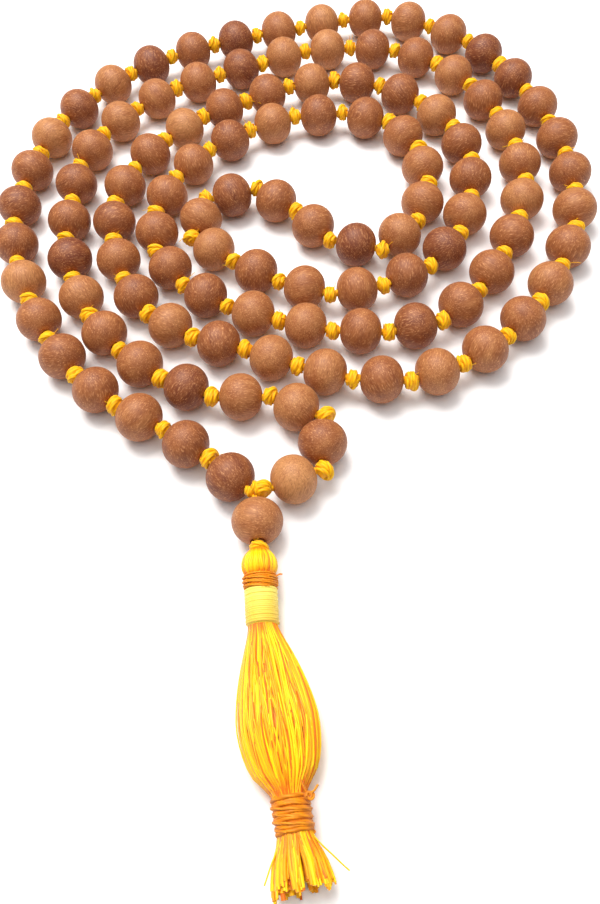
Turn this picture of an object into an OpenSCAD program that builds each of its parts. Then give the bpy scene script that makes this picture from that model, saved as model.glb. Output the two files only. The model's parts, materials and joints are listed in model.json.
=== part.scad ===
// Mala: 108 wooden beads hand-knotted on one cord, closed by a guru bead that carries a thread tassel.
// It lies on a flat surface as a double spiral: in along one strand, round a tight turn, and out again.
// Frame: +Z up and the surface at z = 0. The origin is on the surface under the guru bead, the coil
// lies towards +Y and the tassel towards -Y.

/* [Beads] */
// Diameter of a bead across its bore
bead_d = 8; // [6:0.1:12]
// Length of a bead along its bore, as a share of its diameter
bead_share = 0.9; // [0.86:0.01:0.92]

/* [Cord] */
// Diameter of the cord inside a bead
cord_d = 1.4; // [1:0.1:1.8]
// Radial clearance between the cord and the bore of a bead
bore_gap = 0.07; // [0.03:0.01:0.1]
// Diameter of a knot between two beads, as a share of the bead's diameter
knot_share = 0.39; // [0.32:0.01:0.42]
// Length of a knot along the cord, as a share of the bead's diameter
knot_length_share = 0.265; // [0.25:0.005:0.28]

/* [Tassel] */
// Diameter of the folded threads at the top of the tassel
head_d = 5.4; // [5:0.1:5.8]
// Diameter of the long binding under the head
binding_d = 4.9; // [4.6:0.1:5.2]
// Length of the long binding
binding_l = 5.4; // [4:0.1:8]
// Length of the skirt, from the binding to the cut ends
skirt_l = 34.6; // [26:0.2:60]
// Width of the skirt where it is widest
skirt_w = 11; // [8:0.2:14]
// How far the skirt leans to the right of the head
skirt_lean = 6; // [-10:1:10]
// Outer diameter of the tie round the waist of the skirt
waist_tie_d = 5.2; // [5:0.1:5.6]

/* [Hidden] */
n_beads = 108;
// Beads that turn as nodes of their own: the outer ring, the start of the next one and the last four
single_beads = concat([for (k = [1:44]) k], [for (k = [105:n_beads]) k]);
inward_group = [45:58];
outward_group = [59:104];

function bead_name(k) = str("bead_", k);
$fn = 48;

wood = [0.72, 0.45, 0.29];
saffron = [0.96, 0.7, 0.05];
orange = [0.95, 0.55, 0.05];
lemon = [1, 0.87, 0.35];
yellow = [1, 0.82, 0.1];
burnt_orange = [0.82, 0.42, 0.02];

bead_l = bead_share * bead_d;
bore_d = cord_d + 2 * bore_gap;
knot_d = knot_share * bead_d;
knot_l = knot_length_share * bead_d;
// Slack on each side of a knot
knot_slack = 0.0112 * bead_d;
// One bead and one knot
pitch = bead_l + knot_l + 2 * knot_slack;
axis_z = bead_d / 2;

// The route of the cord over the surface, for a pitch of 9.5 mm: out from the knot behind the guru
// bead, round the outer ring, in to the tight turn, and back out between the rings
route_pitch = 9.5;
route = [
  [-0.6, 4.5], [-11, 15], [-26, 26], [-36, 41], [-42, 60], [-41, 76], [-35, 92], [-21, 106],
  [-3, 113], [16, 117], [34, 118], [49, 108], [58, 92], [62, 75], [61, 58], [54, 43], [43, 31],
  [29, 24], [16, 25], [2, 31], [-15, 39], [-23, 54], [-23, 72], [-12, 87], [3, 95], [20, 99],
  [34, 93], [43, 80], [43, 66], [37, 52], [27, 45], [14, 43], [5, 47], [-2, 52],
  [-9, 58], [-7, 67], [1, 70], [9, 64],
  [15, 56], [22, 52], [30, 56], [35, 68], [32, 83], [20, 89], [5, 87], [-9, 78], [-16, 65],
  [-15, 53], [-7, 44], [5, 38], [20, 34], [34, 36], [46, 49], [53, 66], [52, 82], [45, 98],
  [33, 107], [17, 109], [0, 104], [-17, 97], [-29, 84], [-32, 70], [-32, 56], [-27, 41],
  [-18, 30], [-6, 23], [4, 22], [11.5, 17.5], [10.4, 8.2], [1.4, 5.2]
];

// A smooth line through the route's points, cut into short steps
steps = 8;
route_end = len(route) - 1;
function route_point(i) = i < 0 ? 2 * route[0] - route[1]
  : i > route_end ? 2 * route[route_end] - route[route_end - 1]
  : route[i];
function between(a, b, c, d, t) =
  0.5 * (2 * b + (c - a) * t + (2 * a - 5 * b + 4 * c - d) * t * t + (3 * b - a - 3 * c + d) * t * t * t);
line = (pitch / route_pitch) * [
  for (i = [0:route_end - 1], j = [0:steps - 1])
    between(route_point(i - 1), route_point(i), route_point(i + 1), route_point(i + 2), j / steps),
  route[route_end]
];

// Distance run along that line, and the place at a given distance
run = [
  for (i = 0, s = 0; i < len(line); i = i + 1, s = i < len(line) ? s + norm(line[i] - line[i - 1]) : s) s
];
run_x = [for (i = [0:len(line) - 1]) [run[i], line[i].x]];
run_y = [for (i = [0:len(line) - 1]) [run[i], line[i].y]];
function place(s) = [lookup(s, run_x), lookup(s, run_y)];

// The distance at which the next knot lies one pitch away in a straight line
function next_knot(s, t, tries) =
  tries == 0 ? t : next_knot(s, s + (t - s) * pitch / norm(place(t) - place(s)), tries - 1);

// Knots 0 and 108 are the cord's two ends at the guru knot; bead k lies between knots k - 1 and k
knots = concat(
  [for (i = 0, s = 0; i < n_beads; i = i + 1, s = next_knot(s, s + pitch, 3)) place(s)],
  [line[len(line) - 1]]
);
function heading(a, b) = atan2(b.y - a.y, b.x - a.x);
function turn(k) =
  let (t = heading(knots[k], knots[k + 1]) - heading(knots[k - 1], knots[k]))
  t > 180 ? t - 360 : t < -180 ? t + 360 : t;

// A knot at a bend sits a little outside it
bend_shift = 0.0008 * bead_d;
// How far inside a knot each straight run of cord stops
run_inset = 0.07 * bead_d;
function knot_heading(k) = heading(knots[k - 1], knots[k]) + turn(k) / 2;
function knot_place(k) =
  knots[k] + turn(k) * bend_shift * [sin(knot_heading(k)), -cos(knot_heading(k))];

// The cord doubled through the guru bead, rounded off above it, and the ball of the guru knot beside
// that end, clear of the three beads round it
guru_bore_d = 0.3 * bead_d;
double_cord_d = guru_bore_d - 2 * bore_gap;
double_cord_start = 0.575 * bead_d;
double_cord_end = -0.35 * bead_d;
guru_knot_d = 0.375 * bead_d;
guru_knot_place = [0.1, 0.65] * bead_d;
end_gap = 0.01;

// Tassel, measured along its own axis from the point where its head hinges on the neck
neck_cord_d = 1.4;
neck_start = bead_l / 2;
neck_l = 1.1;
neck_ball_d = 2;
hinge_gap = 0.2;
head_hinge = [0, -neck_start - neck_l, axis_z - 0.1];
// The head slopes down until the skirt lies on the surface
skirt_axis_z = 2.7;
head_centre = 2.5;
core_d = binding_d - 1;
wrap_start = 4;
wrap_end = 6;
wrap_d = binding_d + 0.3;
binding_start = wrap_end + 0.05;
binding_end = binding_start + binding_l;
thread_gap = 0.03;
skirt_hinge = binding_end + 0.2;
droop = asin((head_hinge.z - skirt_axis_z) / skirt_hinge);
skirt_top_d = binding_d - 0.5;

// Stations of the skirt: share of its length, half width, half thickness and rise of the axis
waist_d = waist_tie_d - 0.8;
tie_start = 0.68 * skirt_l;
tie_end = 0.82 * skirt_l;
skirt_upper = [
  [0.01, skirt_top_d / 2, skirt_top_d / 2, 0],
  [0.15, 0.35 * skirt_w, 2.8, 0.2],
  [0.3, 0.46 * skirt_w, 3.2, 0.6],
  [0.43, 0.5 * skirt_w, 3.4, 0.8],
  [0.58, 0.41 * skirt_w, 3, 0.4],
  [0.67, waist_d / 2, waist_d / 2, 0]
];
skirt_lower = [
  [0.825, waist_d / 2, waist_d / 2, 0],
  [0.91, 0.35 * skirt_w, 2.6, 0],
  [1, 0.39 * skirt_w, 2.6, 0]
];

// Puts its children's +Z axis along the line from a to b, at bead height, starting at a
module along(a, b) {
  translate([a.x, a.y, axis_z])
    rotate([0, 0, heading(a, b)])
      rotate([0, 90, 0])
        children();
}

// A bead about the origin with its bore along Z
module bead_shape(bore) {
  rotate_extrude()
    intersection() {
      translate([(bead_d - bead_l) / 2, 0])
        circle(d = bead_l);
      translate([bore / 2, -bead_l])
        square([bead_d, 2 * bead_l]);
    }
}

// A knot about the origin with the cord along Z: a ball squashed flat where it meets the beads
module knot_shape(d, l) {
  rotate_extrude()
    intersection() {
      circle(d = d);
      translate([0, -l / 2])
        square([d, l]);
    }
}

module strung_bead(k) {
  along(knots[k - 1], knots[k])
    translate([0, 0, norm(knots[k] - knots[k - 1]) / 2])
      bead_shape(bore_d);
}

module single_bead(k) {
  color(wood)
    strung_bead(k);
}

module inner_beads_inward() {
  color(wood)
    for (k = inward_group)
      strung_bead(k);
}

module inner_beads_outward() {
  color(wood)
    for (k = outward_group)
      strung_bead(k);
}

module guru_bead() {
  color(wood)
    translate([0, 0, axis_z])
      rotate([90, 0, 0])
        bead_shape(guru_bore_d);
}

// A straight run of cord from inside one knot to inside the next, stopping short of the runs beside it
module cord_run(k) {
  start = k == 1 ? 0 : run_inset;
  end = k == n_beads ? 0 : run_inset;
  along(knots[k - 1], knots[k])
    translate([0, 0, start])
      cylinder(d = cord_d, h = norm(knots[k] - knots[k - 1]) - start - end);
}

module knot(k) {
  translate([knot_place(k).x, knot_place(k).y, axis_z])
    rotate([0, 90, knot_heading(k)])
      knot_shape(knot_d, knot_l);
}

module knotted_cord() {
  color(saffron) {
    for (k = [1:n_beads])
      cord_run(k);
    for (k = [1:n_beads - 1])
      knot(k);
  }
}

// The knot that closes the loop, with the doubled cord that carries the guru bead and the tassel
module guru_knot() {
  color(saffron)
    difference() {
      union() {
        // Turned so that the ball's seam faces away from both cord ends
        translate([guru_knot_place.x, guru_knot_place.y, axis_z])
          rotate([0, 0, 90])
            sphere(d = guru_knot_d);
        translate([0, double_cord_start, axis_z])
          sphere(d = double_cord_d);
        translate([0, double_cord_start, axis_z])
          rotate([90, 0, 0])
            cylinder(d = double_cord_d, h = double_cord_start - double_cord_end);
      }
      cord_end_hole(knots[0], knots[1]);
      cord_end_hole(knots[n_beads], knots[n_beads - 1]);
    }
}

// Where an end of the knotted cord enters the guru knot
module cord_end_hole(end, next) {
  along(end, next)
    translate([0, 0, -end_gap])
      cylinder(d = cord_d + 2 * end_gap, h = bead_d / 2);
}

// Puts its children's +Z axis along the tassel's head
module head_frame() {
  translate(head_hinge)
    rotate([90 + droop, 0, 0])
      children();
}

// Puts its children's +Z axis along the skirt, with Y up, starting at the skirt's hinge
module skirt_frame() {
  translate(head_hinge + skirt_hinge * [0, -cos(droop), -sin(droop)])
    rotate([90, 0, skirt_lean])
      children();
}

module tube(outer, inner, from, to) {
  translate([0, 0, from])
    difference() {
      cylinder(d = outer, h = to - from);
      translate([0, 0, -1])
        cylinder(d = inner, h = to - from + 2);
    }
}

module tassel_neck() {
  color(saffron) {
    translate([0, -neck_start, axis_z])
      sphere(d = neck_cord_d);
    translate([0, -neck_start, axis_z])
      rotate([90, 0, 0])
        cylinder(d = neck_cord_d, h = neck_l);
    translate(head_hinge)
      sphere(d = neck_ball_d);
  }
}

module tassel_head() {
  color(orange)
    head_frame()
      difference() {
        union() {
          translate([0, 0, head_centre])
            sphere(d = head_d);
          translate([0, 0, head_centre])
            cylinder(d = core_d, h = binding_end - head_centre);
        }
        sphere(d = neck_ball_d + 2 * hinge_gap);
        skirt_socket();
      }
}

// Hollow in the end of the head and binding, in which the domed top of the skirt turns
module skirt_socket() {
  translate([0, 0, skirt_hinge])
    sphere(d = skirt_top_d + 2 * hinge_gap);
}

module head_wrap() {
  color(burnt_orange)
    head_frame()
      difference() {
        tube(wrap_d, core_d + 2 * thread_gap, wrap_start, wrap_end);
        translate([0, 0, head_centre])
          sphere(d = head_d + 2 * thread_gap);
      }
}

module neck_binding() {
  color(lemon)
    head_frame()
      difference() {
        tube(binding_d, core_d + 2 * thread_gap, binding_start, binding_end);
        skirt_socket();
      }
}

module skirt_section(station) {
  translate([0, station[3], station[0] * skirt_l])
    scale([station[1], station[2], 1])
      cylinder(r = 1, h = 0.02, $fn = 32);
}

module skirt_stretch(stations) {
  for (i = [0:len(stations) - 2])
    hull() {
      skirt_section(stations[i]);
      skirt_section(stations[i + 1]);
    }
}

module skirt() {
  color(yellow)
    skirt_frame() {
      sphere(d = skirt_top_d);
      skirt_stretch(skirt_upper);
      translate([0, 0, 0.66 * skirt_l])
        cylinder(d = waist_d, h = 0.17 * skirt_l);
      skirt_stretch(skirt_lower);
    }
}

module waist_tie() {
  color(burnt_orange)
    skirt_frame()
      tube(waist_tie_d, waist_d + 2 * thread_gap, tie_start, tie_end);
}

module waist_knot() {
  color(burnt_orange)
    skirt_frame()
      rotate([0, 0, 40])
        translate([waist_tie_d / 2 + 0.62, 0, tie_start + 0.6])
          sphere(d = 1.2);
}

knotted_cord();
guru_knot();
guru_bead();
for (k = single_beads)
  single_bead(k);
inner_beads_inward();
inner_beads_outward();
tassel_neck();
tassel_head();
head_wrap();
neck_binding();
skirt();
waist_tie();
waist_knot();
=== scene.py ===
"""Mala: wooden prayer beads knotted on a saffron cord, coiled flat, with a guru bead and a thread tassel.

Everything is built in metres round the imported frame; sizes below are in millimetres and are named
once. The frame's floor is z = 0, the guru bead stands over the origin and the tassel lies towards -Y.
"""

import json
import math
import random

import bmesh
import bpy
from mathutils import Euler, Matrix, Vector

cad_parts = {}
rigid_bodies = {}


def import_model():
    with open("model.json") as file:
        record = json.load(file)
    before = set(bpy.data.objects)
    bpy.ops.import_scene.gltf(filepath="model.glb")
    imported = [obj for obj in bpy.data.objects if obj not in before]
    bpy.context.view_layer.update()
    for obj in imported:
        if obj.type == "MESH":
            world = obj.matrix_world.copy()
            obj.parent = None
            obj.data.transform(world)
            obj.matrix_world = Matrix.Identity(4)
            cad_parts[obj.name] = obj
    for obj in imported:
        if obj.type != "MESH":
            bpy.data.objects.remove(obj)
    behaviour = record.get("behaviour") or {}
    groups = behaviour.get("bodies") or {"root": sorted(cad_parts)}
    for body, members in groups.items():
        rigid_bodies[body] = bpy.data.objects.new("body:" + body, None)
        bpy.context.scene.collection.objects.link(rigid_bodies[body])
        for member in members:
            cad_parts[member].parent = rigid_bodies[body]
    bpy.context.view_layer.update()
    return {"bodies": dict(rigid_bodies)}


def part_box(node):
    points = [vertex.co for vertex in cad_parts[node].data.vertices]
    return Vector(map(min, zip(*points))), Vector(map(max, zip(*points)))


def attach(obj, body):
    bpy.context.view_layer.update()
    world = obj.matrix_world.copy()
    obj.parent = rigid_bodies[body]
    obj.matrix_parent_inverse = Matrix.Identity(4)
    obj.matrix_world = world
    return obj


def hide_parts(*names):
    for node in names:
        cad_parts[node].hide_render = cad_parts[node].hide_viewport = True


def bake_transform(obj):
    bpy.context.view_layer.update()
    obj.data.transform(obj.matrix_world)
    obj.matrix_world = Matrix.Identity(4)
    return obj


bl_info = {
    "name": "Mala prayer beads",
    "version": (1, 0, 0),
    "blender": (4, 5, 0),
    "location": "View3D > Sidebar > Mala",
    "description": "Builds a knotted mala of wooden beads with its guru bead and tassel",
    "category": "Object",
}

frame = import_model()
MM = 0.001

# Sizes that the beads and the tassel share, in millimetres


def box_mm(node):
    """Lowest and highest corner of a node of the frame, in millimetres."""
    low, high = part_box(node)
    return low / MM, high / MM


GURU_LOW, GURU_HIGH = box_mm("guru_bead")
BEAD_D = round(GURU_HIGH.z - GURU_LOW.z, 1)
BEAD_L = 0.9 * BEAD_D
AXIS_Z = BEAD_D / 2
KNOT_SHARE, KNOT_SLACK_SHARE = 0.265, 0.0112
PITCH = BEAD_L + (KNOT_SHARE + 2 * KNOT_SLACK_SHARE) * BEAD_D
N_BEADS = 108
MOVING = sorted(int(b.split("_")[1]) for b in frame["bodies"] if b.startswith("bead_"))

# The cord's route for a pitch of 9.5 mm, as the frame has it
ROUTE_PITCH = 9.5
ROUTE = [
    (-0.6, 4.5), (-11, 15), (-26, 26), (-36, 41), (-42, 60), (-41, 76), (-35, 92), (-21, 106),
    (-3, 113), (16, 117), (34, 118), (49, 108), (58, 92), (62, 75), (61, 58), (54, 43), (43, 31),
    (29, 24), (16, 25), (2, 31), (-15, 39), (-23, 54), (-23, 72), (-12, 87), (3, 95), (20, 99),
    (34, 93), (43, 80), (43, 66), (37, 52), (27, 45), (14, 43), (5, 47), (-2, 52),
    (-9, 58), (-7, 67), (1, 70), (9, 64),
    (15, 56), (22, 52), (30, 56), (35, 68), (32, 83), (20, 89), (5, 87), (-9, 78), (-16, 65),
    (-15, 53), (-7, 44), (5, 38), (20, 34), (34, 36), (46, 49), (53, 66), (52, 82), (45, 98),
    (33, 107), (17, 109), (0, 104), (-17, 97), (-29, 84), (-32, 70), (-32, 56), (-27, 41),
    (-18, 30), (-6, 23), (4, 22), (11.5, 17.5), (10.4, 8.2), (1.4, 5.2),
]
STEPS = 8


def smooth_line(points):
    """The points of a smooth line through the route, as in the frame."""
    pts = [Vector(p) for p in points]
    pts = [2 * pts[0] - pts[1]] + pts + [2 * pts[-1] - pts[-2]]
    line = []
    for a, b, c, d in zip(pts, pts[1:], pts[2:], pts[3:]):
        for j in range(STEPS):
            t = j / STEPS
            line.append(0.5 * (2 * b + (c - a) * t + (2 * a - 5 * b + 4 * c - d) * t**2
                               + (3 * b - a - 3 * c + d) * t**3))
    line.append(pts[-2])
    return [p * PITCH / ROUTE_PITCH for p in line]


def walk_knots():
    """The places of the cord's knots: equal straight steps along the route."""
    line = smooth_line(ROUTE)
    run = [0.0]
    for a, b in zip(line, line[1:]):
        run.append(run[-1] + (b - a).length)

    def place(s):
        for i in range(1, len(run)):
            if run[i] >= s:
                t = (s - run[i - 1]) / (run[i] - run[i - 1])
                return line[i - 1].lerp(line[i], t)
        return line[-1]

    knots, s = [], 0.0
    for _ in range(N_BEADS):
        knots.append(place(s))
        t = s + PITCH
        for _ in range(3):
            t = s + (t - s) * PITCH / (place(t) - place(s)).length
        s = t
    knots.append(line[-1])
    return knots


KNOTS = walk_knots()


def heading(a, b):
    """Direction from a to b in the plane, in radians."""
    return math.atan2(b.y - a.y, b.x - a.x)


def above_floor(p, least):
    """The point, raised where it would lie less than that over the floor, in millimetres."""
    p.z = max(p.z, least)
    return p


def half_turn(angle):
    """The same angle between minus and plus half a turn."""
    return (angle + math.pi) % (2 * math.pi) - math.pi


def turn_at(k):
    """How far the cord turns at knot k, in radians."""
    return half_turn(heading(KNOTS[k], KNOTS[k + 1]) - heading(KNOTS[k - 1], KNOTS[k]))


def peak(x, centre, reach):
    """One at centre, falling evenly to nothing at reach on both sides."""
    return max(0.0, 1 - abs(x - centre) / reach)


# Tassel: where its head hinges on the neck, its slope, and where the skirt starts and leans
HEAD_HINGE = Vector((0, -BEAD_L / 2 - 1.1, AXIS_Z - 0.1))
SKIRT_AXIS_Z = 2.7
BINDING_FROM, BINDING_TO = 6.05, 11.45
WRAP_FROM, WRAP_TO = 3.9, 6.1
SKIRT_FROM = BINDING_TO + 0.2
DROOP = math.asin((HEAD_HINGE.z - SKIRT_AXIS_Z) / SKIRT_FROM)
SKIRT_LEAN = math.radians(6)
SKIRT_HINGE = HEAD_HINGE + SKIRT_FROM * Vector((0, -math.cos(DROOP), -math.sin(DROOP)))
HEAD_FRAME = Matrix.Translation(HEAD_HINGE) @ Matrix.Rotation(math.pi / 2 + DROOP, 4, "X")
SKIRT_FRAME = (Matrix.Translation(SKIRT_HINGE) @ Matrix.Rotation(SKIRT_LEAN, 4, "Z")
               @ Matrix.Rotation(math.pi / 2, 4, "X"))

# Outline of the head's folded threads: distance along the axis, radius
HEAD_OUTLINE = [(-0.6, 0.7), (0.0, 1.3), (0.6, 1.95), (1.4, 2.5), (2.4, 2.75), (3.2, 2.62),
                (3.8, 2.3), (4.4, 2.05), (5.2, 2.0)]
# Outline of the skirt: distance along the axis, half width, half thickness, rise of the axis
SKIRT_OUTLINE = [(-1.2, 1.95, 1.95, 0), (0.3, 2.1, 2.1, 0), (5.2, 3.75, 2.7, 0.2),
                 (10.4, 5.0, 3.15, 0.5), (14.9, 5.45, 3.35, 0.75), (20.1, 4.5, 2.9, 0.35),
                 (23.4, 2.25, 2.15, 0), (28.4, 2.2, 2.1, 0), (31.5, 3.5, 2.45, -0.05),
                 (34.6, 4.2, 2.55, -0.05)]
WAIST_FROM, WAIST_TO = 23.5, 28.3


def outline_at(outline, x):
    """The outline's other values at distance x, on a smooth line through its stations."""
    if x <= outline[0][0]:
        return outline[0][1:]
    for i in range(len(outline) - 1):
        if x <= outline[i + 1][0]:
            a, b = outline[i], outline[i + 1]
            before, after = outline[max(i - 1, 0)], outline[min(i + 2, len(outline) - 1)]
            w = b[0] - a[0]
            t = (x - a[0]) / w
            values = []
            for n in range(1, len(a)):
                ma = (b[n] - before[n]) / max(b[0] - before[0], 1e-6) * w
                mb = (after[n] - a[n]) / max(after[0] - a[0], 1e-6) * w
                values.append((2 * t**3 - 3 * t**2 + 1) * a[n] + (t**3 - 2 * t**2 + t) * ma
                              + (3 * t**2 - 2 * t**3) * b[n] + (t**3 - t**2) * mb)
            return tuple(values)
    return outline[-1][1:]


# Settings shown in the panel


def linear(hex_colour):
    """An sRGB hex colour as linear RGBA."""
    rgb = [int(hex_colour[i:i + 2], 16) / 255 for i in (1, 3, 5)]
    return tuple(c / 12.92 if c <= 0.04045 else ((c + 0.055) / 1.055) ** 2.4 for c in rgb) + (1,)


class BeadSettings(bpy.types.PropertyGroup):
    """Size and finish of the beads."""

    bore_d: bpy.props.FloatProperty(
        name="Bore", description="Diameter of a bead's bore", default=1.5 * MM, unit="LENGTH")
    guru_bore_d: bpy.props.FloatProperty(
        name="Guru bore", description="Diameter of the guru bead's bore", default=2.4 * MM,
        unit="LENGTH")
    edge_r: bpy.props.FloatProperty(
        name="Bore edge", description="Rounding where a bore meets the bead's face",
        default=0.16 * MM, unit="LENGTH")
    light_tone: bpy.props.FloatVectorProperty(
        name="Light wood", description="Colour of the palest beads", subtype="COLOR",
        default=linear("#BE824F")[:3])
    mid_tone: bpy.props.FloatVectorProperty(
        name="Mid wood", description="Colour of most beads", subtype="COLOR",
        default=linear("#9E5E34")[:3])
    dark_tone: bpy.props.FloatVectorProperty(
        name="Dark wood", description="Colour of the darkest beads", subtype="COLOR",
        default=linear("#763C24")[:3])


class CordSettings(bpy.types.PropertyGroup):
    """Size of the cord and of its knots."""

    cord_d: bpy.props.FloatProperty(
        name="Cord", description="Diameter of the cord", default=1.4 * MM, unit="LENGTH")
    strand_d: bpy.props.FloatProperty(
        name="Knot strand", description="Diameter of a strand in a knot", default=1.0 * MM,
        unit="LENGTH")
    knot_d: bpy.props.FloatProperty(
        name="Knot", description="Diameter of a knot", default=3.4 * MM, unit="LENGTH")
    knot_l: bpy.props.FloatProperty(
        name="Knot length", description="Length of a knot along the cord", default=2.5 * MM,
        unit="LENGTH")
    fibres: bpy.props.IntProperty(
        name="Loose fibres", description="How many fibres stand out of the knots", default=150)


class TasselSettings(bpy.types.PropertyGroup):
    """Threads of the tassel."""

    thread_d: bpy.props.FloatProperty(
        name="Thread", description="Diameter of a skirt thread", default=0.31 * MM, unit="LENGTH")
    outer_threads: bpy.props.IntProperty(
        name="Outer threads", description="Threads in the skirt's outer layer", default=270)
    inner_threads: bpy.props.IntProperty(
        name="Inner threads", description="Threads under the outer layer", default=260)
    head_threads: bpy.props.IntProperty(
        name="Head threads", description="Folded threads over the head", default=64)


# Building blocks


def add(tree, kind, inputs=None, **settings):
    """Adds a node with its settings; inputs gives each socket a value or the output that feeds it."""
    made = tree.nodes.new(kind)
    for name, value in settings.items():
        setattr(made, name, value)
    for name, value in (inputs or {}).items():
        if isinstance(value, bpy.types.NodeSocket):
            tree.links.new(value, made.inputs[name])
        else:
            made.inputs[name].default_value = value
    return made


def in_scene(name, mesh):
    """An object that shows the mesh."""
    made = bpy.data.objects.new(name, mesh)
    bpy.context.scene.collection.objects.link(made)
    return made


def stored(tree, geometry, name, value, kind="FLOAT"):
    """The geometry with a value kept on its points under a name."""
    return add(tree, "GeometryNodeStoreNamedAttribute",
               {"Geometry": geometry, "Name": name, "Value": value}, data_type=kind,
               domain="POINT").outputs[0]


def calc(tree, operation, *values):
    """The result of a maths node on values or outputs."""
    return add(tree, "ShaderNodeMath", dict(enumerate(values)), operation=operation).outputs[0]


def points_mesh(name, places, edges=(), **attributes):
    """A mesh object of points and edges, places in millimetres, with an attribute per keyword."""
    mesh = bpy.data.meshes.new(name)
    mesh.from_pydata([Vector(p) * MM for p in places], list(edges), [])
    for key, values in attributes.items():
        vector = hasattr(values[0], "__len__")
        made = mesh.attributes.new(key, "FLOAT_VECTOR" if vector else "FLOAT", "POINT")
        flat = [x for v in values for x in v] if vector else list(values)
        made.data.foreach_set("vector" if vector else "value", flat)
    return in_scene(name, mesh)


def grown(source, tree, values, name):
    """A plain mesh object made by running a node tree on source, which is then removed."""
    modifier = source.modifiers.new("grow", "NODES")
    modifier.node_group = tree
    for item in tree.interface.items_tree:
        if item.item_type == "SOCKET" and item.in_out == "INPUT" and item.name in values:
            modifier[item.identifier] = values[item.name]
    graph = bpy.context.evaluated_depsgraph_get()
    mesh = bpy.data.meshes.new_from_object(source.evaluated_get(graph), depsgraph=graph)
    mesh.name = name
    if not mesh.polygons:
        raise RuntimeError(f"{name} came out empty")
    made = in_scene(name, mesh)
    old = source.data
    bpy.data.objects.remove(source)
    bpy.data.meshes.remove(old)
    return made


def tree_with(name, **inputs):
    """A geometry node tree with the given named inputs; returns it with its input node."""
    tree = bpy.data.node_groups.new(name, "GeometryNodeTree")
    tree.interface.new_socket("Geometry", in_out="OUTPUT", socket_type="NodeSocketGeometry")
    tree.interface.new_socket("Geometry", in_out="INPUT", socket_type="NodeSocketGeometry")
    for key, kind in inputs.items():
        tree.interface.new_socket(key, in_out="INPUT", socket_type="NodeSocket" + kind)
    return tree, tree.nodes.new("NodeGroupInput")


def end_tree(tree, geometry, material):
    """Ends a tree in Realize Instances and Set Material."""
    real = add(tree, "GeometryNodeRealizeInstances", {"Geometry": geometry})
    done = add(tree, "GeometryNodeSetMaterial", {"Geometry": real.outputs[0], "Material": material})
    add(tree, "NodeGroupOutput", {"Geometry": done.outputs[0]})


def sweep_tree():
    """Turns lines of points into threads: a plied round section, twisted as it runs."""
    tree, given = tree_with("sweep_threads", Sides="Int", Plies="Float", Groove="Float",
                            Twist="Float", Material="Material")
    line = add(tree, "GeometryNodeMeshToCurve", {"Mesh": given.outputs["Geometry"]})
    radius = add(tree, "GeometryNodeInputNamedAttribute", {"Name": "thread_radius"},
                 data_type="FLOAT")
    sized = add(tree, "GeometryNodeSetCurveRadius",
                {"Curve": line.outputs[0], "Radius": radius.outputs[0]})
    along = add(tree, "GeometryNodeSplineParameter")
    twist = calc(tree, "MULTIPLY", along.outputs["Length"], given.outputs["Twist"])
    tilted = add(tree, "GeometryNodeSetCurveTilt",
                 {"Curve": sized.outputs[0], "Tilt": twist})
    marked = stored(tree, tilted.outputs[0], "thread_along", along.outputs["Length"])
    # The section: a unit circle pressed in between its plies
    circle = add(tree, "GeometryNodeCurvePrimitiveCircle",
                 {"Resolution": given.outputs["Sides"], "Radius": 1.0}, mode="RADIUS")
    round_the = add(tree, "GeometryNodeSplineParameter")
    angle = calc(tree, "MULTIPLY", round_the.outputs["Factor"], 2 * math.pi)
    ply_angle = calc(tree, "MULTIPLY", angle, given.outputs["Plies"])
    wave = calc(tree, "COSINE", ply_angle)
    groove = calc(tree, "MULTIPLY_ADD", wave, 0.5, 0.5)
    depth = calc(tree, "MULTIPLY", groove, given.outputs["Groove"])
    share = calc(tree, "SUBTRACT", 1.0, depth)
    place = add(tree, "GeometryNodeInputPosition")
    ringed = stored(tree, circle.outputs["Curve"], "thread_ring", place.outputs[0],
                    "FLOAT_VECTOR")
    grooved = stored(tree, ringed, "thread_groove", groove)
    pressed = add(tree, "ShaderNodeVectorMath",
                  {0: place.outputs[0], "Scale": share}, operation="SCALE")
    section = add(tree, "GeometryNodeSetPosition",
                  {"Geometry": grooved, "Position": pressed.outputs[0]})
    swept = add(tree, "GeometryNodeCurveToMesh",
                {"Curve": marked, "Profile Curve": section.outputs[0],
                 "Fill Caps": True})
    if "Scale" in swept.inputs:
        tree.links.new(radius.outputs[0], swept.inputs["Scale"])
    smooth = add(tree, "GeometryNodeSetShadeSmooth", {"Geometry": swept.outputs[0]})
    end_tree(tree, smooth.outputs[0], given.outputs["Material"])
    return tree


def setting_tree():
    """Sets one form on every point, turned and sized as the point says."""
    tree, given = tree_with("set_out", Form="Object", Material="Material")
    form = add(tree, "GeometryNodeObjectInfo", {"Object": given.outputs["Form"]},
               transform_space="ORIGINAL")
    turn = add(tree, "GeometryNodeInputNamedAttribute", {"Name": "form_turn"},
               data_type="FLOAT_VECTOR")
    size = add(tree, "GeometryNodeInputNamedAttribute", {"Name": "form_size"}, data_type="FLOAT")
    turned = add(tree, "FunctionNodeEulerToRotation", {0: turn.outputs[0]})
    placed = add(tree, "GeometryNodeInstanceOnPoints",
                 {"Points": given.outputs["Geometry"], "Instance": form.outputs["Geometry"],
                  "Rotation": turned.outputs[0], "Scale": size.outputs[0]})
    end_tree(tree, placed.outputs[0], given.outputs["Material"])
    return tree


TREES = {}


def tree_named(name):
    """The node tree of that name, built once."""
    if name not in TREES:
        TREES[name] = {"sweep": sweep_tree, "setting": setting_tree}[name]()
    return TREES[name]


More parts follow.
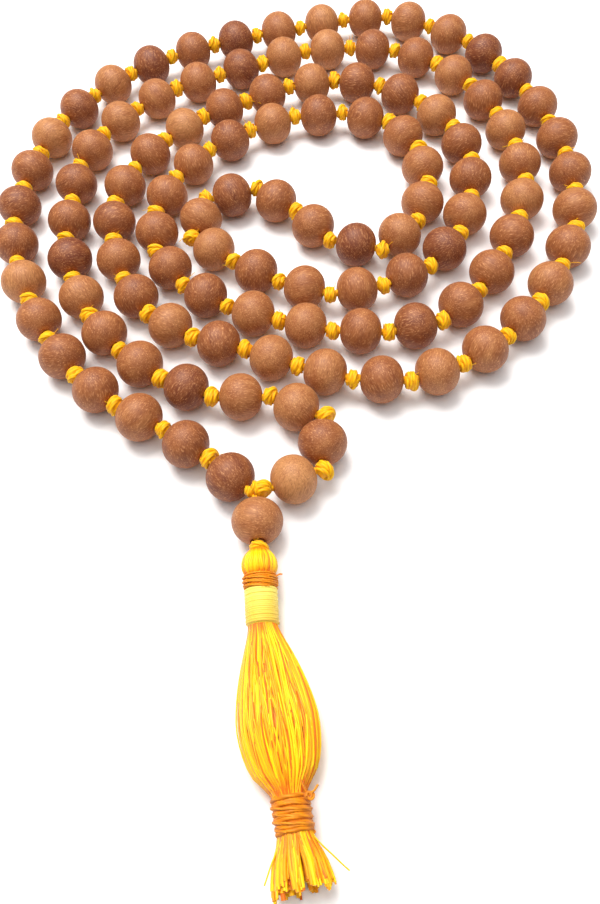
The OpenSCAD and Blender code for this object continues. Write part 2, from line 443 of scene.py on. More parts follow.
def threads(name, lines, radii, material, sides=6, plies=1.0, groove=0.0, twist=0.0, **per_line):
    """Threads along lines of points in millimetres, each with a radius, as one mesh.

    Each keyword gives one value per line, or one per point of each line, kept as an attribute.
    """
    places, edges, thickness = [], [], []
    extra = {key: [] for key in per_line}
    for i, (line, radius) in enumerate(zip(lines, radii)):
        start = len(places)
        places += line
        edges += [(start + j, start + j + 1) for j in range(len(line) - 1)]
        thickness += [radius * MM] * len(line)
        for key, values in per_line.items():
            v = values[i]
            extra[key] += list(v) if hasattr(v, "__len__") else [v] * len(line)
    source = points_mesh(name + "_lines", places, edges, thread_radius=thickness, **extra)
    return grown(source, tree_named("sweep"),
                 {"Sides": sides, "Plies": plies, "Groove": groove, "Twist": twist / MM,
                  "Material": material}, name)


def skinned(name, rings, looped):
    """A smooth closed mesh over rings of points in millimetres, looped or shut at both ends."""
    shape = bmesh.new()
    rings = [[shape.verts.new(Vector(p) * MM) for p in ring] for ring in rings]
    for ring, nxt in zip(rings, rings[1:] + rings[:1] if looped else rings[1:]):
        for j in range(len(ring)):
            k = (j + 1) % len(ring)
            shape.faces.new((ring[j], ring[k], nxt[k], nxt[j]))
    if not looped:
        shape.faces.new(rings[0])
        shape.faces.new(rings[-1])
    bmesh.ops.recalc_face_normals(shape, faces=shape.faces)
    mesh = bpy.data.meshes.new(name)
    shape.to_mesh(mesh)
    shape.free()
    mesh.shade_smooth()
    return mesh


def round_angles(sides):
    """Even angles round a full turn, in radians."""
    return [2 * math.pi * j / sides for j in range(sides)]


def set_out(name, form, material, places, turns, sizes, **attributes):
    """One form set on places in millimetres, each turned and sized its own way, as one mesh."""
    source = points_mesh(name + "_places", places, form_turn=[tuple(t) for t in turns],
                         form_size=sizes, **attributes)
    return grown(source, tree_named("setting"), {"Form": form, "Material": material}, name)


def lathe(name, outline, sides):
    """A closed ring turned round Z from an outline of (radius, height) points in millimetres."""
    mesh = skinned(name, [[(r * math.cos(a), r * math.sin(a), z) for a in round_angles(sides)]
                          for r, z in outline], looped=True)
    local = mesh.attributes.new("bead_local", "FLOAT_VECTOR", "POINT")
    local.data.foreach_set("vector", [x / MM for v in mesh.vertices for x in v.co])
    return in_scene(name, mesh)


def drop(*objects):
    """Removes forms that are no longer needed."""
    for o in objects:
        bpy.data.objects.remove(o)


# Painted shade: the bodies seen between threads take a tone near the deepest, for the shade between
# threads
CORE_SHADE_TONE = 0.75


def solid_between(name, frame_matrix, outline, share, sides, material):
    """A closed body that fills a bundle of threads: rings along an outline, shut at both ends."""
    rings = []
    for x, *values in outline:
        half_x, half_y, rise = values if len(values) == 3 else (values[0], values[0], 0)
        rings.append([frame_matrix @ Vector((share * half_x * math.cos(a),
                                             share * half_y * math.sin(a) + rise, x))
                      for a in round_angles(sides)])
    mesh = skinned(name, rings, looped=False)
    mesh.materials.append(material)
    # Painted shade: the filling body gets a deep tone for the shade between threads
    tone = mesh.attributes.new("thread_tone", "FLOAT", "POINT")
    tone.data.foreach_set("value", [CORE_SHADE_TONE] * len(mesh.vertices))
    return in_scene(name, mesh)


def joined(name, objects):
    """Several mesh objects as one, called name."""
    first = objects[0]
    if len(objects) > 1:
        with bpy.context.temp_override(active_object=first, selected_editable_objects=objects,
                                       object=first, selected_objects=objects):
            bpy.ops.object.join()
    first.name = name
    first.data.name = name
    return first


# Materials


def new_material(name):
    """An empty material with its output; returns the material and its tree."""
    material = bpy.data.materials.new(name)
    material.use_nodes = True
    tree = material.node_tree
    tree.nodes.clear()
    return material, tree


def sanded_sandalwood(beads):
    """Sandalwood, turned and sanded but not varnished: fine pale flecks along the grain over a warm
    brown that differs from bead to bead, with the dull sheen of handled wood."""
    material, tree = new_material("sanded_sandalwood")
    local = add(tree, "ShaderNodeAttribute", attribute_name="bead_local")
    tone = add(tree, "ShaderNodeAttribute", attribute_name="bead_tone")
    grain_turn = add(tree, "ShaderNodeAttribute", attribute_name="bead_grain")
    # Each bead is cut from another part of the plank and lies at its own angle to the grain
    turned = add(tree, "ShaderNodeVectorRotate",
                 {"Vector": local.outputs["Vector"], "Rotation": grain_turn.outputs["Vector"]},
                 rotation_type="EULER_XYZ")
    shift = add(tree, "ShaderNodeVectorMath",
                {0: grain_turn.outputs["Vector"], "Scale": 37.0}, operation="SCALE")
    moved = add(tree, "ShaderNodeVectorMath",
                {0: turned.outputs[0], 1: shift.outputs[0]}, operation="ADD")
    # Growth rings about 1.6 mm apart, seen as soft bands
    ring_map = add(tree, "ShaderNodeMapping", {"Vector": moved.outputs[0], "Scale": (0.55, 0.55, 0.06)})
    rings = add(tree, "ShaderNodeTexNoise",
                {"Vector": ring_map.outputs[0], "Scale": 1.1, "Detail": 3.0, "Roughness": 0.55,
                 "Distortion": 0.4})
    # Pores and fibres 0.1 mm wide and about 1 mm long
    fibre_map = add(tree, "ShaderNodeMapping", {"Vector": moved.outputs[0], "Scale": (5.0, 5.0, 1.1)})
    fibres = add(tree, "ShaderNodeTexNoise",
                 {"Vector": fibre_map.outputs[0], "Scale": 1.0, "Detail": 4.0, "Roughness": 0.7})
    flecks = add(tree, "ShaderNodeMapRange",
                 {"Value": fibres.outputs[0], "From Min": 0.53, "From Max": 0.66})
    pores = add(tree, "ShaderNodeMapRange",
                {"Value": fibres.outputs[0], "From Min": 0.46, "From Max": 0.33})
    spread = calc(tree, "ADD", rings.outputs[0], -0.5)
    toned = calc(tree, "MULTIPLY_ADD", spread, 0.9, tone.outputs["Fac"])
    ramp = add(tree, "ShaderNodeValToRGB", {"Fac": toned})
    stops = ramp.color_ramp.elements
    stops[0].position, stops[0].color = 0.05, (*beads.dark_tone, 1)
    stops[1].position, stops[1].color = 0.95, (*beads.light_tone, 1)
    mid = stops.new(0.48)
    mid.color = (*beads.mid_tone, 1)
    fleck_share = calc(tree, "MULTIPLY", flecks.outputs[0], 0.62)
    pale = add(tree, "ShaderNodeMix",
               {"Factor": fleck_share, "A": ramp.outputs[0], "B": linear("#E6A670")},
               data_type="RGBA")
    pore_share = calc(tree, "MULTIPLY", pores.outputs[0], 0.6)
    pored = add(tree, "ShaderNodeMix",
                {"Factor": pore_share, "A": pale.outputs[2], "B": linear("#6B3320")},
                data_type="RGBA")
    rough = add(tree, "ShaderNodeMapRange",
                {"Value": fibres.outputs[0], "To Min": 0.42, "To Max": 0.6})
    bump = add(tree, "ShaderNodeBump",
               {"Height": fibres.outputs[0], "Strength": 0.35, "Distance": 0.00012})
    shader = add(tree, "ShaderNodeBsdfPrincipled",
                 {"Base Color": pored.outputs[2], "Roughness": rough.outputs[0],
                  "IOR": 1.5, "Specular IOR Level": 0.35, "Normal": bump.outputs[0]})
    add(tree, "ShaderNodeOutputMaterial", {"Surface": shader.outputs[0]})
    return material


def spun_thread(name, pale, middle, deep, groove_shade_colour, fibre_scale=(2.2, 2.2, 0.5), roughness=0.6,
                sheen=0.1, groove_shade_share=0.75):
    """Spun thread: tone from thread to thread, deepened where painted shade is carried in the same
    attribute, fibres that run along it, and painted shade in the grooves between plies.
    """
    material, tree = new_material(name)
    tone = add(tree, "ShaderNodeAttribute", attribute_name="thread_tone")
    ring = add(tree, "ShaderNodeAttribute", attribute_name="thread_ring")
    along = add(tree, "ShaderNodeAttribute", attribute_name="thread_along")
    groove = add(tree, "ShaderNodeAttribute", attribute_name="thread_groove")
    along_mm = calc(tree, "MULTIPLY", along.outputs["Fac"], 1 / MM)
    parts = add(tree, "ShaderNodeSeparateXYZ", {"Vector": ring.outputs["Vector"]})
    toned_along = calc(tree, "MULTIPLY_ADD", tone.outputs["Fac"], 53.0, along_mm)
    unrolled = add(tree, "ShaderNodeCombineXYZ",
                   {"X": parts.outputs["X"], "Y": parts.outputs["Y"], "Z": toned_along})
    fibre_map = add(tree, "ShaderNodeMapping", {"Vector": unrolled.outputs[0], "Scale": fibre_scale})
    fibres = add(tree, "ShaderNodeTexNoise",
                 {"Vector": fibre_map.outputs[0], "Scale": 1.6, "Detail": 3.0, "Roughness": 0.65})
    spread = calc(tree, "ADD", fibres.outputs[0], -0.5)
    mixed = calc(tree, "MULTIPLY_ADD", spread, 0.7, tone.outputs["Fac"])
    ramp = add(tree, "ShaderNodeValToRGB", {"Fac": mixed})
    stops = ramp.color_ramp.elements
    stops[0].position, stops[0].color = 0.12, linear(pale)
    stops[1].position, stops[1].color = 0.95, linear(deep)
    stops.new(0.5).color = linear(middle)
    # Painted shade: a darker colour mixed in along the grooves between plies
    painted_groove_shade = calc(tree, "MULTIPLY", groove.outputs["Fac"], groove_shade_share)
    groove_shaded = add(tree, "ShaderNodeMix",
                  {"Factor": painted_groove_shade, "A": ramp.outputs[0], "B": linear(groove_shade_colour)},
                  data_type="RGBA")
    bump = add(tree, "ShaderNodeBump",
               {"Height": fibres.outputs[0], "Strength": 0.3, "Distance": 0.0001})
    shader = add(tree, "ShaderNodeBsdfPrincipled",
                 {"Base Color": groove_shaded.outputs[2], "Roughness": roughness, "IOR": 1.5,
                  "Specular IOR Level": 0.3, "Sheen Weight": sheen, "Sheen Roughness": 0.4,
                  "Normal": bump.outputs[0]})
    add(tree, "ShaderNodeOutputMaterial", {"Surface": shader.outputs[0]})
    return material


FINISHES = {}


def finish_named(name):
    """The finish of that name, made once."""
    if name not in FINISHES:
        makers = {
            # Sandalwood, sanded
            "wood": lambda: sanded_sandalwood(bpy.context.scene.mala_beads),
            # Waxed cotton cord, plied: matte, with painted shade as warm dark lines between its plies
            "cord": lambda: spun_thread("plied_cotton_cord", "#FFDC00", "#FFC400", "#FA9C00",
                                        "#DE7C00"),
            # Rayon embroidery thread: brighter and silkier, a few threads dyed deeper
            "skirt": lambda: spun_thread("rayon_embroidery_thread", "#FFD400", "#FFB200",
                                         "#DC6A00", "#B85800", roughness=0.42,
                                         groove_shade_share=0.0),
            "wrap": lambda: spun_thread("wound_orange_thread", "#FFB42A", "#FF9E06", "#EE8400",
                                        "#DC7400", roughness=0.5),
            "binding": lambda: spun_thread("wound_lemon_thread", "#FFF48C", "#FFE95C", "#F8CE36",
                                           "#E8B430", roughness=0.5),
            "waist": lambda: spun_thread("wound_amber_thread", "#FBA428", "#F09008", "#D07600",
                                         "#BC6600", roughness=0.5),
        }
        FINISHES[name] = makers[name]()
    return FINISHES[name]


# Pieces


def bead_outline(bore_r, edge_r):
    """Half section of a bead, from its bore round its face and back, in millimetres."""
    r = BEAD_L / 2
    offset = (BEAD_D - BEAD_L) / 2
    mouth = math.acos((bore_r + edge_r - offset) / r)
    outline = []
    arc_steps = 18
    for i in range(arc_steps + 1):
        a = -mouth + 2 * mouth * i / arc_steps
        outline.append((offset + r * math.cos(a), r * math.sin(a)))
    top = outline[-1][1]
    inner = [(bore_r + 0.35 * edge_r, top - 0.12 * edge_r), (bore_r, top - edge_r),
             (bore_r, 0.0), (bore_r, -top + edge_r), (bore_r + 0.35 * edge_r, -top + 0.12 * edge_r)]
    return outline + inner


def along_chord(a, b, spin):
    """Euler turn that puts +Z along a to b and spins about it."""
    turn = Matrix.Rotation(heading(a, b), 3, "Z") @ Matrix.Rotation(math.pi / 2, 3, "Y")
    return (turn @ Matrix.Rotation(spin, 3, "Z")).to_euler()


def make_beads(name, form, places, turns, rng):
    """Beads of one form at the given places, each with its own tone and grain, as one mesh."""
    n = len(places)
    # Most beads are mid brown, some pale, some reddish and dark
    tones = [min(max(rng.gauss(0.47, 0.14), 0.08), 0.9) for _ in range(n)]
    grains = [tuple(rng.uniform(0, 6.28) for _ in range(3)) for _ in range(n)]
    sizes = [rng.uniform(0.975, 1.0) for _ in range(n)]
    return set_out(name, form, finish_named("wood"), places, turns, sizes, bead_tone=tones,
                   bead_grain=grains)


class MALA_OT_beads(bpy.types.Operator):
    """Make the wooden beads on the cord and the guru bead"""

    bl_idname = "mala.beads"
    bl_label = "Beads"

    def execute(self, context):
        beads = context.scene.mala_beads
        edge = beads.edge_r / MM
        form = lathe("bead_form", bead_outline(beads.bore_d / MM / 2, edge), 40)
        guru_form = lathe("guru_form", bead_outline(beads.guru_bore_d / MM / 2, edge), 48)
        rng = random.Random(27)
        centre = {k: (KNOTS[k - 1] + KNOTS[k]) / 2 for k in range(1, N_BEADS + 1)}
        turn = {k: along_chord(KNOTS[k - 1], KNOTS[k], rng.uniform(0, 6.28)) for k in centre}
        for k in MOVING:
            made = make_beads(f"wood_bead_{k}", form, [(*centre[k], AXIS_Z)], [turn[k]], rng)
            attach(made, f"bead_{k}")
            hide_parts(f"bead_{k}")
        still = [k for k in centre if k not in MOVING]
        for node, group in (("inner_beads_inward", [k for k in still if k <= 58]),
                            ("inner_beads_outward", [k for k in still if k > 58])):
            made = make_beads("wood_" + node, form, [(*centre[k], AXIS_Z) for k in group],
                              [turn[k] for k in group], rng)
            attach(made, "cord")
            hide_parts(node)
        guru = make_beads("wood_guru_bead", guru_form, [(0, 0, AXIS_Z)],
                          [Euler((math.pi / 2, 0, 0))], rng)
        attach(guru, "guru_bead")
        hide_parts("guru_bead")
        drop(form, guru_form)
        return {"FINISHED"}


def knot_lines(knot_r, half_l, strand_r, way):
    """The two strands of a tied knot round Z, in millimetres: coils, and one that crosses them."""
    outer, rise = knot_r - strand_r, half_l - strand_r
    coils, crossing = [], []
    for i in range(45):
        u = i / 44
        a = 2 * math.pi * 2.6 * u
        # The coils tuck in towards the cord at both ends
        r = outer * (0.62 + 0.38 * min(1.0, 5 * u, 5 * (1 - u))) * (0.94 if way else 1.0)
        coils.append((r * math.cos(a), r * math.sin(a) * 0.95, rise * (2 * u - 1)))
    for i in range(21):
        u = i / 20
        a = way * 1.3 - 1.9 + 3.3 * u
        r = (outer + 0.24) * (1 - 0.75 * (2 * u - 1) ** 4)
        crossing.append((r * math.cos(a), r * math.sin(a), rise * 1.15 * (1 - 2 * u)))
    return [coils, crossing]


def knot_form(cord, way):
    """One tied knot round Z, as a mesh to be set out along the cord."""
    strand_r = cord.strand_d / MM / 2
    lines = knot_lines(cord.knot_d / MM / 2, cord.knot_l / MM / 2, strand_r, way)
    wound = threads("knot_form", lines, [strand_r, 0.85 * strand_r], finish_named("cord"),
                    sides=12, plies=4.0, groove=0.24, twist=1.1, thread_tone=[0.45, 0.3])
    half = cord.knot_l / MM / 2
    core = [(x * half, 1.25 * math.sqrt(1 - x * x)) for x in (-0.98, -0.8, -0.4, 0, 0.4, 0.8, 0.98)]
    inside = solid_between("knot_core", Matrix(), core, 1.0, 12, finish_named("cord"))
    return joined("knot_form", [wound, inside])


def knot_place(k):
    """Centre of knot k: a little outside the bend, so that it clears both beads."""
    turn = turn_at(k)
    side = heading(KNOTS[k - 1], KNOTS[k]) + turn / 2
    shift = 0.0008 * BEAD_D * math.degrees(turn)
    return KNOTS[k] + shift * Vector((math.sin(side), -math.cos(side))), side


class MALA_OT_cord(bpy.types.Operator):
    """Make the knotted cord, its knots and the fibres that stand out of them"""

    bl_idname = "mala.cord"
    bl_label = "Knotted cord"

    def execute(self, context):
        cord = context.scene.mala_cord
        rng = random.Random(5)
        forms = [knot_form(cord, way) for way in (0, 1, 2)]
        places, turns, sizes, tones = [], [], [], []
        for k in range(1, N_BEADS):
            place, side = knot_place(k)
            places.append((*place, AXIS_Z + rng.uniform(-0.1, 0.15)))
            a, b = Vector((0, 0)), Vector((math.cos(side), math.sin(side)))
            turns.append(along_chord(a, b, rng.uniform(0, 6.28)))
            sizes.append(rng.uniform(0.93, 1.04))
            tones.append(rng.uniform(0.3, 0.6))
        knots = joined("cord_knots", [
            set_out("knots", form, finish_named("cord"), places[i::3], turns[i::3], sizes[i::3],
                    knot_tone=tones[i::3]) for i, form in enumerate(forms)])
        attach(knots, "cord")
        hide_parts("knotted_cord")

        line = []
        for a, b in zip(KNOTS, KNOTS[1:]):
            line += [(*a.lerp(b, j / 8), AXIS_Z) for j in range(8)]
        line.append((*KNOTS[-1], AXIS_Z))
        runs = threads("cord_runs", [line], [cord.cord_d / MM / 2], finish_named("cord"), sides=9,
                       plies=3.0, groove=0.2, twist=1.9, thread_tone=[0.45])
        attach(runs, "cord")

        fibres = []
        for _ in range(cord.fibres):
            x, y, z = rng.choice(places)
            out = Vector((rng.gauss(0, 1), rng.gauss(0, 1), rng.uniform(0.1, 1.4))).normalized()
            bend = Vector((rng.gauss(0, 0.5), rng.gauss(0, 0.5), rng.gauss(0, 0.3)))
            start = Vector((x, y, z)) + out * 1.1
            length = rng.uniform(0.5, 1.25)
            fibres.append([start + out * length * t + bend * length * t * t
                           for t in (0, 0.25, 0.5, 0.75, 1)])
        loose = threads("cord_fibres", fibres, [0.055] * len(fibres), finish_named("cord"),
                        sides=4, thread_tone=[0.3] * len(fibres))
        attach(loose, "cord")

        # The guru knot: a larger knot beside the doubled cord, with a small one left of it
        across = along_chord(Vector((0, 0)), Vector((0.2, -1)), 0.4)
        along = along_chord(Vector((0, 0)), Vector((1, 0.35)), 1.1)
        lumps = [((0.85, 5.25, AXIS_Z + 0.35), across, 1.0),
                 ((0.15, 5.2, AXIS_Z + 0.7), along, 0.72),
                 ((-1.1, 4.85, AXIS_Z + 0.6), along, 0.56)]
        tied = set_out("guru_knot_tied", forms[1], finish_named("cord"), *zip(*lumps))
        through = []
        for side in (-1, 1):
            through.append([(side * 0.5 * math.cos(2.2 * y), y, AXIS_Z + side * 0.5 * math.sin(2.2 * y))
                            for y in [4.9 - 0.4 * i for i in range(20)]])
        doubled = threads("guru_cord", through, [0.56, 0.56], finish_named("cord"), sides=9,
                          plies=3.0, groove=0.2, twist=1.9, thread_tone=[0.4, 0.55])
        tied = joined("guru_knot_tied", [tied, doubled])
        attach(tied, "cord")
        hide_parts("guru_knot")
        drop(*forms)
        return {"FINISHED"}


def helix(frame_matrix, from_x, to_x, radius, turns, skew=0.0, start=0.0, per_turn=28, wander=0.0,
          seed=1):
    """A winding round a tassel axis, in millimetres, with a slant and a little wander."""
    rng = random.Random(seed)
    phase = [rng.uniform(0, 6.28) for _ in range(3)]
    n = int(turns * per_turn)
    line = []
    for i in range(n + 1):
        u = i / n
        a = start + 2 * math.pi * turns * u
        x = from_x + (to_x - from_x) * u + skew * math.sin(a + 0.6)
        x += wander * math.sin(a * 0.37 + phase[0]) * math.sin(a * 0.11 + phase[1])
        r = radius + 0.4 * wander * math.sin(a * 0.53 + phase[2])
        line.append(above_floor(frame_matrix @ Vector((r * math.cos(a), r * math.sin(a), x)), 0.27))
    return line


class MALA_OT_tassel_head(bpy.types.Operator):
    """Make the head of the tassel: loops at the bead, folded threads and their two windings"""

    bl_idname = "mala.tassel_head"
    bl_label = "Tassel head"

    def execute(self, context):
        tassel = context.scene.mala_tassel
        cord = context.scene.mala_cord
        rng = random.Random(11)
        # Loops of thread that come out of the guru bead
        form = knot_form(cord, 1)
        neck = set_out("tassel_neck_loops", form, finish_named("cord"),
                       [(0.0, -4.5, AXIS_Z + 0.05)], [(math.pi / 2, 0.0, 0.15)], [0.9])
        drop(form)
        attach(neck, "neck")
        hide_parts("tassel_neck")

        lines, tones = [], []
        n = tassel.head_threads
        for i in range(n):
            a = 2 * math.pi * i / n + rng.uniform(-0.03, 0.03)
            depth = rng.uniform(0.93, 0.99)
            drift = rng.uniform(-0.12, 0.12)
            base = min(max(rng.gauss(0.22, 0.16), 0.0), 1.0)
            line, tone = [], []
            for j in range(15):
                x = -0.6 + 5.6 * j / 14
                (r,) = outline_at(HEAD_OUTLINE, x)
                r = r * depth - 0.17
                b = a + drift * math.sin(x)
                line.append(HEAD_FRAME @ Vector((r * math.cos(b), r * math.sin(b), x)))
                # Painted shade: the tone deepens to orange where the threads are pinched together, and
                # stays bright over the crown
                tone.append(min(base + 0.75 * (peak(x, 0.1, 0.9) + peak(x, 4.1, 1.0)), 1.0))
            lines.append(line)
            tones.append(tone)
        crown = threads("crown", lines, [0.2] * n, finish_named("skirt"), sides=6,
                        thread_tone=tones)
        core = solid_between("crown_core", HEAD_FRAME, HEAD_OUTLINE, 0.86, 24,
                             finish_named("skirt"))
        crown = joined("tassel_head_threads", [crown, core])
        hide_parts("tassel_head")
        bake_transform(crown)

        wraps = [helix(HEAD_FRAME, WRAP_FROM + 0.15, WRAP_TO - 0.1, 2.32, 7, 0.1, wander=0.12),
                 helix(HEAD_FRAME, WRAP_TO - 0.35, WRAP_FROM + 0.35, 2.52, 4, 0.38, 1.0,
                       wander=0.12, seed=4)]
        # The thread's end, left standing at the right
        end = [HEAD_FRAME @ Vector(p) for p in
               [(2.2, 0.9, 4.6), (2.6, 0.7, 4.3), (2.95, 0.5, 4.1), (3.3, 0.45, 4.15)]]
        wrap = threads("head_wrap_thread", wraps + [end], [0.19, 0.17, 0.14], finish_named("wrap"),
                       sides=7, plies=2.0, groove=0.16, twist=2.4, thread_tone=[0.5, 0.35, 0.8])
        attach(wrap, "head")
        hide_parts("head_wrap")

        turns = helix(HEAD_FRAME, BINDING_FROM + 0.2, BINDING_TO - 0.2, 2.24, 17, 0.04,
                      wander=0.06, seed=9)
        binding = threads("neck_binding_thread", [turns], [0.21], finish_named("binding"), sides=8,
                          thread_tone=[0.35])
        inside = solid_between("binding_core", HEAD_FRAME,
                               [(WRAP_FROM, 2.2), (BINDING_TO, 2.2)], 0.99, 28,
                               finish_named("binding"))
        binding = joined("neck_binding_thread", [binding, inside])
        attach(binding, "head")
        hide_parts("neck_binding")
        return {"FINISHED"}


def nearest(clumps, a):
    """The clump whose angle is nearest to a."""
    return min(clumps, key=lambda c: abs(half_turn(a - c)))


def skirt_thread(rng, a, depth, clumps, end, start, step=1.15):
    """One thread of the skirt: down the outline at its own angle and depth, and the painted shade it
    takes where it is pinched.
    """
    sway = [rng.uniform(0, 6.28), rng.uniform(0.03, 0.09), rng.uniform(0.15, 0.5)]
    pull = half_turn(nearest(clumps, a) - a)
    n = max(3, round((end - start) / step))
    line, painted_pinch_shade = [], []
    for i in range(n + 1):
        x = start + (end - start) * i / n
        half_w, half_h, rise = outline_at(SKIRT_OUTLINE, x)
        b = a + sway[1] * math.sin(sway[2] * x + sway[0])
        flare = min(max((x - WAIST_TO) / 3.5, 0.0), 1.0)
        b += 0.55 * pull * flare
        r = depth * (1 - 0.06 * flare * abs(math.sin(5 * a)))
        p = SKIRT_FRAME @ Vector((r * half_w * math.cos(b), r * half_h * math.sin(b) + rise, x))
        line.append(above_floor(p, 0.4))
        # Painted shade: deeper where the threads are pinched, at the binding and on both sides of the
        # waist tie
        pinch_shade = peak(x, 0, 2.4) + peak(x, 23.2, 2.6) + 0.6 * peak(x, 29.0, 2.2)
        painted_pinch_shade.append(min(pinch_shade, 1.0))
    return line, painted_pinch_shade


class MALA_OT_tassel_skirt(bpy.types.Operator):
    """Make the skirt's threads, the tie round its waist and the cut ends"""

    bl_idname = "mala.tassel_skirt"
    bl_label = "Tassel skirt"

    def execute(self, context):
        tassel = context.scene.mala_tassel
        rng = random.Random(3)
        radius = tassel.thread_d / MM / 2
        clumps = [2 * math.pi * i / 11 + rng.uniform(-0.2, 0.2) for i in range(11)]
        clump_end = {c: rng.uniform(33.4, 34.9) for c in clumps}
        lines, tones, radii = [], [], []

        def lay(a, depth, start, thick=1.0):
            end = clump_end[nearest(clumps, a)] + rng.gauss(0, 0.45) - 0.9 * (1 - depth)
            line, painted_pinch_shade = skirt_thread(rng, a, depth, clumps, end, start)
            # One thread in eight is dyed deeper, and one in four is in between
            base = rng.choices((rng.uniform(0.0, 0.3), rng.uniform(0.45, 0.65),
                                rng.uniform(0.85, 1.0)), (0.48, 0.36, 0.16))[0]
            lines.append(line)
            # Painted shade: the thread's tone deepens where it is pinched
            tones.append([min(base + 0.45 * p, 1.0) for p in painted_pinch_shade])
            radii.append(radius * thick * rng.uniform(0.85, 1.15))

        for i in range(tassel.outer_threads):
            lay(2 * math.pi * (i + rng.uniform(-0.4, 0.4)) / tassel.outer_threads,
                rng.uniform(0.93, 0.985), -1.2)
        for i in range(tassel.inner_threads):
            outer_ring = i % 3 == 0
            lay(rng.uniform(0, 2 * math.pi),
                rng.uniform(0.84, 0.92) if outer_ring else 0.97 * math.sqrt(rng.random()),
                -1.2 if outer_ring else 27.0, 1.0 if outer_ring else 2.0)
        bundle = threads("bundle", lines, radii, finish_named("skirt"), sides=5,
                         thread_tone=tones)
        core_outline = [s for s in SKIRT_OUTLINE if s[0] < 31]
        core = solid_between("skirt_core", SKIRT_FRAME, core_outline, 0.88, 32,
                             finish_named("skirt"))
        skirt = joined("tassel_skirt_threads", [bundle, core])
        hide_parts("skirt")
        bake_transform(skirt)

        ties = [helix(SKIRT_FRAME, WAIST_FROM + 0.1, WAIST_TO - 0.1, 2.3, 10, 0.14, wander=0.15,
                      seed=2),
                helix(SKIRT_FRAME, WAIST_TO - 0.6, WAIST_FROM + 0.5, 2.52, 4, 0.5, 2.0, wander=0.2,
                      seed=6)]
        tie = threads("waist_tie_thread", ties, [0.32, 0.22], finish_named("waist"), sides=8,
                      plies=2.0, groove=0.1, twist=1.6, thread_tone=[0.45, 0.3])
        inside = solid_between("waist_core", SKIRT_FRAME,
                               [(WAIST_FROM + 0.2, 2.28), (WAIST_TO - 0.2, 2.28)], 1.0, 28,
                               finish_named("waist"))
        tie = joined("waist_tie_thread", [tie, inside])
        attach(tie, "skirt")
        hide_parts("waist_tie")

        low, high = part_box("waist_knot")
        middle = (low + high) / 2 / MM
        loops = [[middle + Vector(p) for p in line] for line in knot_lines(0.62, 0.5, 0.2, 0)]
        ends = [[middle + Vector((0.1, 0.1, 0.1)), middle + Vector((0.8, 0.5, 0.45)),
                 middle + Vector((1.3, 1.2, 0.3))],
                [middle, middle + Vector((-0.5, 0.9, 0.5)), middle + Vector((-0.9, 1.9, 0.75))]]
        knot = threads("knot_loops", loops, [0.2, 0.18], finish_named("waist"), sides=6,
                       thread_tone=[0.2, 0.3])
        tails = threads("knot_tails", ends, [0.15, 0.13], finish_named("waist"), sides=6,
                        thread_tone=[0.1, 0.4])
        knot = joined("waist_knot_tied", [knot, tails])
        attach(knot, "skirt")
        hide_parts("waist_knot")

        # A few threads that have come loose from the bundle
        strays = []
        for a, x0, x1, out in ((0.25, 27.5, 33.6, 2.2), (2.9, 28.5, 33.5, 1.0), (0.1, 3.0, 21.0, 0.15),
                               (3.2, 4.0, 22.0, 0.2)):
            line = []
            for i in range(13):
                u = i / 12
                x = x0 + (x1 - x0) * u
                half_w, half_h, rise = outline_at(SKIRT_OUTLINE, x)
                bow = out * (u * u if x0 > 25 else math.sin(math.pi * u))
                p = SKIRT_FRAME @ Vector(((half_w + bow) * math.cos(a),
                                          half_h * math.sin(a) + rise, x))
                line.append(above_floor(p, 0.2))
            strays.append(line)
        loose = threads("tassel_strays", strays, [0.12] * len(strays), finish_named("skirt"),
                        sides=5, thread_tone=[0.25] * len(strays))
        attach(loose, "skirt")
        return {"FINISHED"}


# Stage


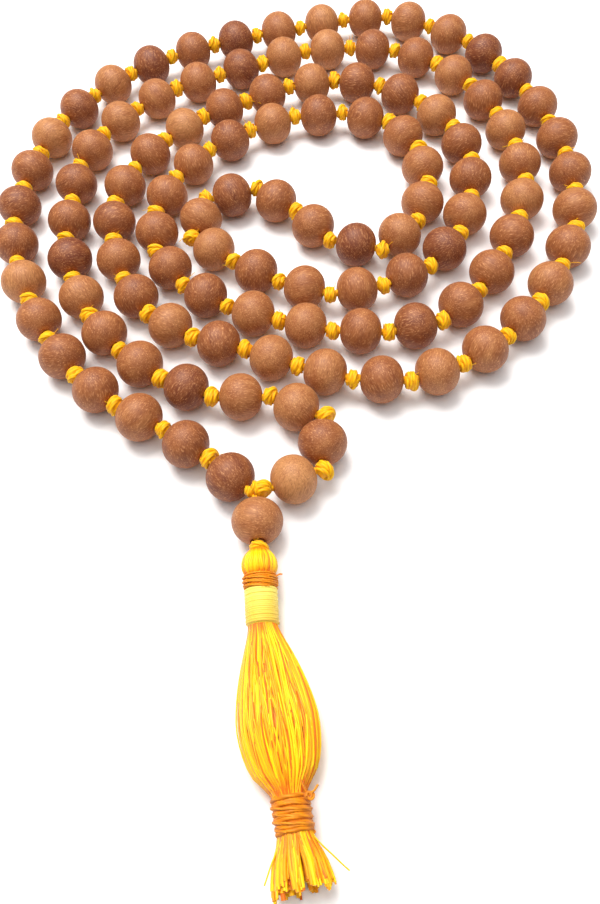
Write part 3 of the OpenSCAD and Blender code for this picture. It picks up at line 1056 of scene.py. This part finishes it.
class MALA_OT_stage(bpy.types.Operator):
    """Set the pale floor, the studio light and the camera"""

    bl_idname = "mala.stage"
    bl_label = "Stage"

    def execute(self, context):
        scene = context.scene
        floor_mesh = bpy.data.meshes.new("floor")
        half = 1.6
        floor_mesh.from_pydata([(-half, -half, 0), (half, -half, 0), (half, half, 0),
                                (-half, half, 0)], [], [(0, 1, 2, 3)])
        floor = bpy.data.objects.new("floor", floor_mesh)
        scene.collection.objects.link(floor)
        material, tree = new_material("white_paper")
        shader = add(tree, "ShaderNodeBsdfPrincipled",
                     {"Base Color": linear("#FBFBFC"), "Roughness": 0.9,
                      "Specular IOR Level": 0.1})
        add(tree, "ShaderNodeOutputMaterial", {"Surface": shader.outputs[0]})
        floor_mesh.materials.append(material)

        world = bpy.data.worlds.new("studio")
        world.use_nodes = True
        tree = world.node_tree
        tree.nodes.clear()
        # A dim room lights the pieces, and the backdrop itself shows pale
        seen = add(tree, "ShaderNodeLightPath")
        strength = add(tree, "ShaderNodeMapRange",
                       {"Value": seen.outputs["Is Camera Ray"], "To Min": 0.17, "To Max": 0.9})
        back = add(tree, "ShaderNodeBackground",
                   {"Color": linear("#FFFFFF"), "Strength": strength.outputs[0]})
        add(tree, "ShaderNodeOutputWorld", {"Surface": back.outputs[0]})
        scene.world = world

        for name, place, size, power, colour in (
                ("key", (-0.14, 0.3, 0.62), 0.4, 5.6, "#FFFDFA"),
                ("overhead", (0.0, 0.05, 0.85), 1.1, 6.6, "#FFFFFF")):
            light = bpy.data.lights.new(name, "AREA")
            light.size = size
            light.energy = power
            light.color = linear(colour)[:3]
            lamp = bpy.data.objects.new(name, light)
            lamp.location = place
            aim = Vector((0.01, 0.03, 0)) - Vector(place)
            lamp.rotation_euler = aim.to_track_quat("-Z", "Y").to_euler()
            scene.collection.objects.link(lamp)

        camera_data = bpy.data.cameras.new("camera")
        camera_data.sensor_width = 36
        camera_data.lens = 36.92
        camera_data.clip_start, camera_data.clip_end = 0.005, 20
        camera = bpy.data.objects.new("camera", camera_data)
        right = Vector((0.99745, -0.06546, -0.02861))
        forward = Vector((0.00830, 0.50391, -0.86372))
        up = right.cross(forward)
        camera.matrix_world = (Matrix.Translation((0.00601, -0.06201, 0.13005))
                               @ Matrix((right, up, -forward)).transposed().to_4x4())
        scene.collection.objects.link(camera)
        scene.camera = camera
        scene.view_settings.view_transform = "Standard"
        return {"FINISHED"}


class MALA_PT_panel(bpy.types.Panel):
    """The mala's pieces and settings"""

    bl_label = "Mala"
    bl_idname = "MALA_PT_panel"
    bl_space_type = "VIEW_3D"
    bl_region_type = "UI"
    bl_category = "Mala"

    def draw(self, context):
        for group, operators in (("mala_beads", ("beads",)), ("mala_cord", ("cord",)),
                                 ("mala_tassel", ("tassel_head", "tassel_skirt")),
                                 (None, ("stage",))):
            box = self.layout.box()
            if group:
                settings = getattr(context.scene, group)
                for name in settings.__annotations__:
                    box.prop(settings, name)
            for name in operators:
                box.operator("mala." + name)


CLASSES = (BeadSettings, CordSettings, TasselSettings, MALA_OT_beads, MALA_OT_cord,
           MALA_OT_tassel_head, MALA_OT_tassel_skirt, MALA_OT_stage, MALA_PT_panel)


def register():
    for cls in CLASSES:
        bpy.utils.register_class(cls)
    bpy.types.Scene.mala_beads = bpy.props.PointerProperty(type=BeadSettings)
    bpy.types.Scene.mala_cord = bpy.props.PointerProperty(type=CordSettings)
    bpy.types.Scene.mala_tassel = bpy.props.PointerProperty(type=TasselSettings)


def unregister():
    for name in ("mala_tassel", "mala_cord", "mala_beads"):
        delattr(bpy.types.Scene, name)
    for cls in reversed(CLASSES):
        bpy.utils.unregister_class(cls)


def main():
    """Registers the add-on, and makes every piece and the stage."""
    register()
    bpy.ops.mala.stage()
    bpy.ops.mala.cord()
    bpy.ops.mala.beads()
    bpy.ops.mala.tassel_head()
    bpy.ops.mala.tassel_skirt()


if __name__ == "__main__":
    main()
